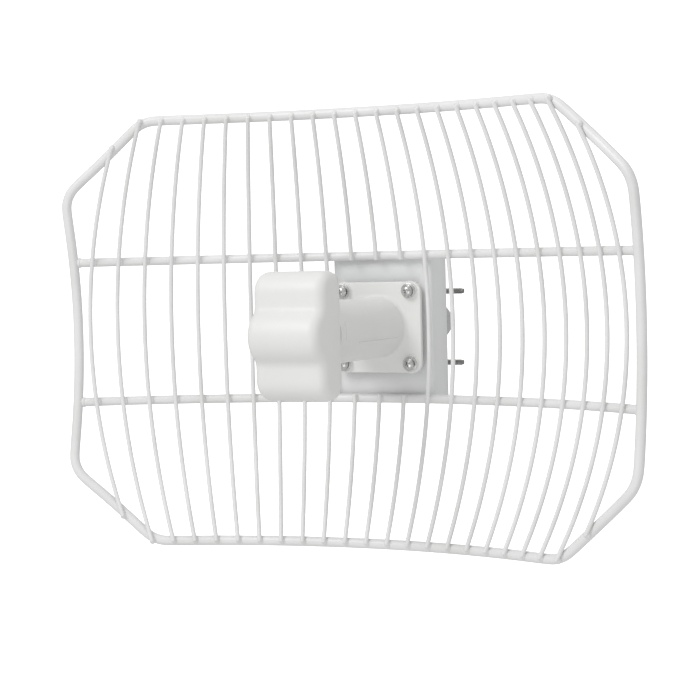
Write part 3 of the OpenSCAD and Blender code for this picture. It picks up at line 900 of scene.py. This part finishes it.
def split_washer(outer, inner, thick, place=Matrix()):
    """A spring washer: a square wire wound almost once, its ends a little apart."""
    bpy.ops.mesh.primitive_plane_add(size=1, rotation=(math.pi / 2, 0, 0))
    ring = bpy.context.active_object
    ring.scale = (outer - inner, thick, 1)
    bpy.ops.object.transform_apply()
    apply_place(ring, Matrix.Translation(((outer + inner) / 2, 0, thick / 2)))
    modify(
        ring, "SCREW", angle=math.radians(350), screw_offset=0.35 * MM,
        steps=40, render_steps=40, axis="Z",
    )
    edit(ring)
    bpy.ops.object.mode_set(mode="EDIT")
    bpy.ops.mesh.select_all(action="SELECT")
    bpy.ops.mesh.normals_make_consistent(inside=False)
    done()
    soften(ring, 0.12 * MM, 1, 60)
    return apply_place(ring, place)


def nut(radius, height, bore, place=Matrix()):
    """A hexagon nut along Z from the place's origin."""
    made = hexagon(radius, height)
    cut_with(made, cylinder(bore, height * 3, Matrix.Translation((0, 0, -height)), 32))
    return apply_place(made, place)


def at_screws(make, name):
    """Four copies of one fastener, one at each corner of the feed's square."""
    first = make()
    turns = (0.5, 0.1, 1.2, 0.35)
    copies = [
        copy_of(first, DISH @ Matrix.Translation((x, 0, z)) @ Matrix.Rotation(a, 4, "Y"))
        for (x, z), a in zip(SCREW_SQUARE, turns)
    ]
    bpy.data.objects.remove(first)
    return join(copies, name)


def make_feed():
    def put(piece, name, material, slot, node, angle=35):
        settle(piece, name, material, "reflector", slot, node, angle=angle)

    form = make_head()
    cover = half_of(form, HEAD_SPLIT - SEAM / 2, True)
    put(apply_place(cover, DISH), "feed_head_cover", SHELL, "white_plastic", "head_cover")
    housing = make_housing(form)
    bpy.data.objects.remove(form)
    put(apply_place(housing, DISH), "feed_moulding", SHELL, "white_plastic", "feed_housing", 25)
    flat_y = -SCREW_STACK
    split_y = flat_y - WASHER_T
    head_y = split_y - WASHER_T
    screws = at_screws(lambda: apply_place(make_screw(), ahead(head_y)), "screws")
    put(screws, "feed_pan_screws", SCREW_ZINC, "zinc_steel", "feed_screws")
    rings = at_screws(lambda: split_washer(5 * MM, 2.7 * MM, WASHER_T, ahead(split_y)), "split_washers")
    put(rings, "feed_split_washers", DULL_ZINC, "zinc_steel", "feed_spring_washers")
    plain = at_screws(lambda: washer(7.5 * MM, 2.8 * MM, WASHER_T, ahead(flat_y)), "plain_washers")
    put(plain, "feed_plain_washers", SCREW_ZINC, "zinc_steel", "feed_flat_washers")
    nuts = at_screws(lambda: nut(4.6 * MM, 4 * MM, 2.45 * MM, back(9.5 * MM)), "hex_nuts")
    put(nuts, "feed_hex_nuts", ZINC, "zinc_steel", "feed_nuts")


def make_tail():
    """The tail tube, and its cap with a rounded end and grip ribs, which pulls off backwards."""
    tube = from_node("tail_tube", 0.4 * MM)
    settle(tube, "tail_tube_moulding", GREY, "reflector", "grey_plastic", "tail_tube")
    rib_l = 12 * MM
    inner = TAIL_R - 2.5 * MM
    mouth = TAIL_Y - CAP_L + 0.3 * MM
    seat = mouth + 10.2 * MM
    rings = [(TAIL_Y - 3.5 * MM, inner - 2.8 * MM), (seat + 0.5 * MM, inner - 2.8 * MM), (seat, inner)]
    rings += [(mouth, inner), (mouth, TAIL_R - 0.5 * MM), (mouth + 0.5 * MM, TAIL_R)]
    rings += arc_rings(TAIL_Y - 6 * MM, TAIL_R - 6 * MM, 6 * MM, 0, 90, 8)
    rings += [(TAIL_Y, 6.6 * MM), (TAIL_Y - 0.6 * MM, 6 * MM), (TAIL_Y - 2.5 * MM, 5.9 * MM)]
    cap = lathe(rings, Y_AXIS, 72)
    ribs = []
    for k in range(20):
        turn = Matrix.Rotation(math.tau * k / 20, 4, "Y")
        place = turn @ Matrix.Translation((TAIL_R - 0.1 * MM, mouth + 2.7 * MM, 0)) @ Y_AXIS
        ribs.append(soften(cylinder(0.8 * MM, rib_l, place, 12), 0.3 * MM, 2))
    cap = join([cap] + ribs, "cap")
    settle(apply_place(cap, DISH), "tail_end_cap", GREY, "end_cap", "grey_plastic", "tail_cap")
    rings = [(TAIL_Y - 2.4 * MM, 5.8 * MM), (TAIL_Y + 0.1 * MM, 5.8 * MM), (TAIL_Y + 0.2 * MM, 7.6 * MM)]
    rings += arc_rings(TAIL_Y + 0.7 * MM, 7 * MM, 0.8 * MM, 0, 90, 4)
    rings += [(TAIL_Y + 1.4 * MM, 4 * MM), (TAIL_Y + 0.8 * MM, 3 * MM), (TAIL_Y + 0.5 * MM, 0.6 * MM)]
    grommet = lathe(rings, DISH @ Y_AXIS, 48)
    settle(grommet, "cable_membrane", RUBBER, "end_cap", "black_rubber", "cable_grommet")


make_feed()
make_tail()

# --- Brackets, saddles and bolts ---


def make_u_bolt(node, z):
    """A rod bent round the mast, with rolled threads on its two legs."""
    low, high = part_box(node)
    rod = U_ROD / 2
    start = low.x + rod + U_SPAN / 2
    thread_l = 48 * MM
    neck = 0.16 * U_ROD / 2
    bend = bent_rod(U_ROD, U_SPAN / 2, -math.pi / 2, math.pi / 2, Matrix(), 24, 2 * MM)
    turn = Matrix.Rotation(-math.pi / 2, 4, "Z")
    apply_place(bend, Matrix.Translation((start - U_SPAN / 2, 0, z)) @ turn)
    parts = [bend]
    for y in (-U_SPAN / 2, U_SPAN / 2):
        shank = cylinder(rod, high.x - thread_l - start, Matrix.Translation((start, y, z)) @ X_AXIS, 24)
        core = cylinder(rod - neck, thread_l, Matrix.Translation((high.x - thread_l, y, z)) @ X_AXIS, 24)
        soften(core, 0.5 * MM, 2)
        place = Matrix.Translation((high.x - thread_l, y, z)) @ X_AXIS
        parts += [shank, core, thread(rod, MM, thread_l - 1.5 * MM, place)]
    return join(parts, node)


def along_x(x, y, z):
    return Matrix.Translation((x, y, z)) @ X_AXIS


def make_clamp():
    for side, name in ((1, "upper"), (-1, "lower")):
        saddle = from_node(name + "_saddle", 0.9 * MM, 3)
        settle(saddle, name + "_cast_saddle", CAST, "mast_mount", "cast_saddle", name + "_saddle")
        node = name + "_u_bolt"
        u_bolt = make_u_bolt(node, side * U_Z)
        settle(u_bolt, node + "_threaded", DULL_ZINC, name + "_clamp", "zinc_steel", node, angle=50)
    legs = [(y, z) for y in (-U_SPAN / 2, U_SPAN / 2) for z in (-U_Z, U_Z)]
    washer_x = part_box("clamp_washers")[0].x
    nut_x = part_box("clamp_nuts")[0].x
    rings = [washer(6 * MM, 3.3 * MM, PLATE_WASHER_T, along_x(washer_x, y, z)) for y, z in legs]
    settle(join(rings, "w"), "clamp_plain_washers", ZINC, "mast_mount", "zinc_steel", "clamp_washers")
    nuts = [nut(5.76 * MM, 5.1 * MM, 2.9 * MM, along_x(nut_x, y, z)) for y, z in legs]
    settle(join(nuts, "n"), "clamp_hex_nuts", ZINC, "mast_mount", "zinc_steel", "clamp_nuts")


def make_bolt(x_head, x_tip):
    """A hexagon bolt along X whose head's outer face is at x_head and whose tip is at x_tip."""
    head_l = 5.3 * MM
    head = hexagon(HEX_R, head_l, along_x(x_head, 0, 0))
    shank = cylinder(4 * MM, 8 * MM, along_x(x_head + head_l - 0.1 * MM, 0, 0), 32)
    core_x = x_head + head_l + 7 * MM
    core = soften(cylinder(3.4 * MM, x_tip - core_x, along_x(core_x, 0, 0), 32), 0.6 * MM, 2)
    ridge = thread(4 * MM, 1.25 * MM, x_tip - core_x - MM, along_x(core_x, 0, 0), 24)
    return join([head, shank, core, ridge], "bolt")


def make_elevation_bolts():
    """The pivot bolt turns with the mast bracket; the two lock bolts tilt with the reflector."""
    x_head, x_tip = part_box("pivot_bolt")[0].x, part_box("pivot_bolt")[1].x
    x_nut, x_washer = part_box("pivot_nut")[0].x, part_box("pivot_washers")[0].x
    level = Matrix.Translation((0, pivot.y, pivot.z))
    tilted = level @ Matrix.Rotation(tilt, 4, "X")
    sets = (
        ("pivot", "mast_mount", [level], ("pivot_bolt", "pivot_nut", "pivot_washers")),
        (
            "lock", "reflector", [tilted @ Matrix.Translation((0, 0, z)) for z in (-LOCK_R, LOCK_R)],
            ("lock_bolts", "lock_nuts", "lock_washers"),
        ),
    )
    for name, body, places, (bolt_node, nut_node, washer_node) in sets:
        bolts = [apply_place(make_bolt(x_head, x_tip), p) for p in places]
        settle(join(bolts, "b"), name + "_hex_bolts", ZINC, body, "zinc_steel", bolt_node)
        nuts = [nut(HEX_R, 6.5 * MM, 3.9 * MM, p @ along_x(x_nut, 0, 0)) for p in places]
        settle(join(nuts, "n"), name + "_hex_nuts", ZINC, body, "zinc_steel", nut_node)
        rings = [washer(8 * MM, 4.3 * MM, PLATE_WASHER_T, p @ along_x(x_washer, 0, 0)) for p in places]
        settle(join(rings, "w"), name + "_plain_washers", ZINC, body, "zinc_steel", washer_node)


def make_brackets():
    bracket = from_node("reflector_bracket", 0.5 * MM)
    settle(bracket, "folded_bracket", SHEET, "reflector", "painted_bracket", "reflector_bracket")
    plate = from_node("pole_bracket", 0.5 * MM)
    settle(plate, "mast_plate", GALVANISED, "mast_mount", "galvanised_steel", "pole_bracket")


make_brackets()
make_clamp()
make_elevation_bolts()

# --- The finishes of the parts that stay as they are ---

KEPT = {
    "circuit_board": BOARD,
    "shield_can": TIN,
    "network_jack": TIN,
    "sub_reflector": TIN,
    "dipole_element": BRASS,
    "light_window": GUIDE,
    "head_seal": RUBBER,
    "tail_seal": RUBBER,
    "reset_button": RUBBER,
}
for node, material in KEPT.items():
    part = frame["nodes"][node]
    for k in range(len(part.material_slots)):
        part.material_slots[k].material = material
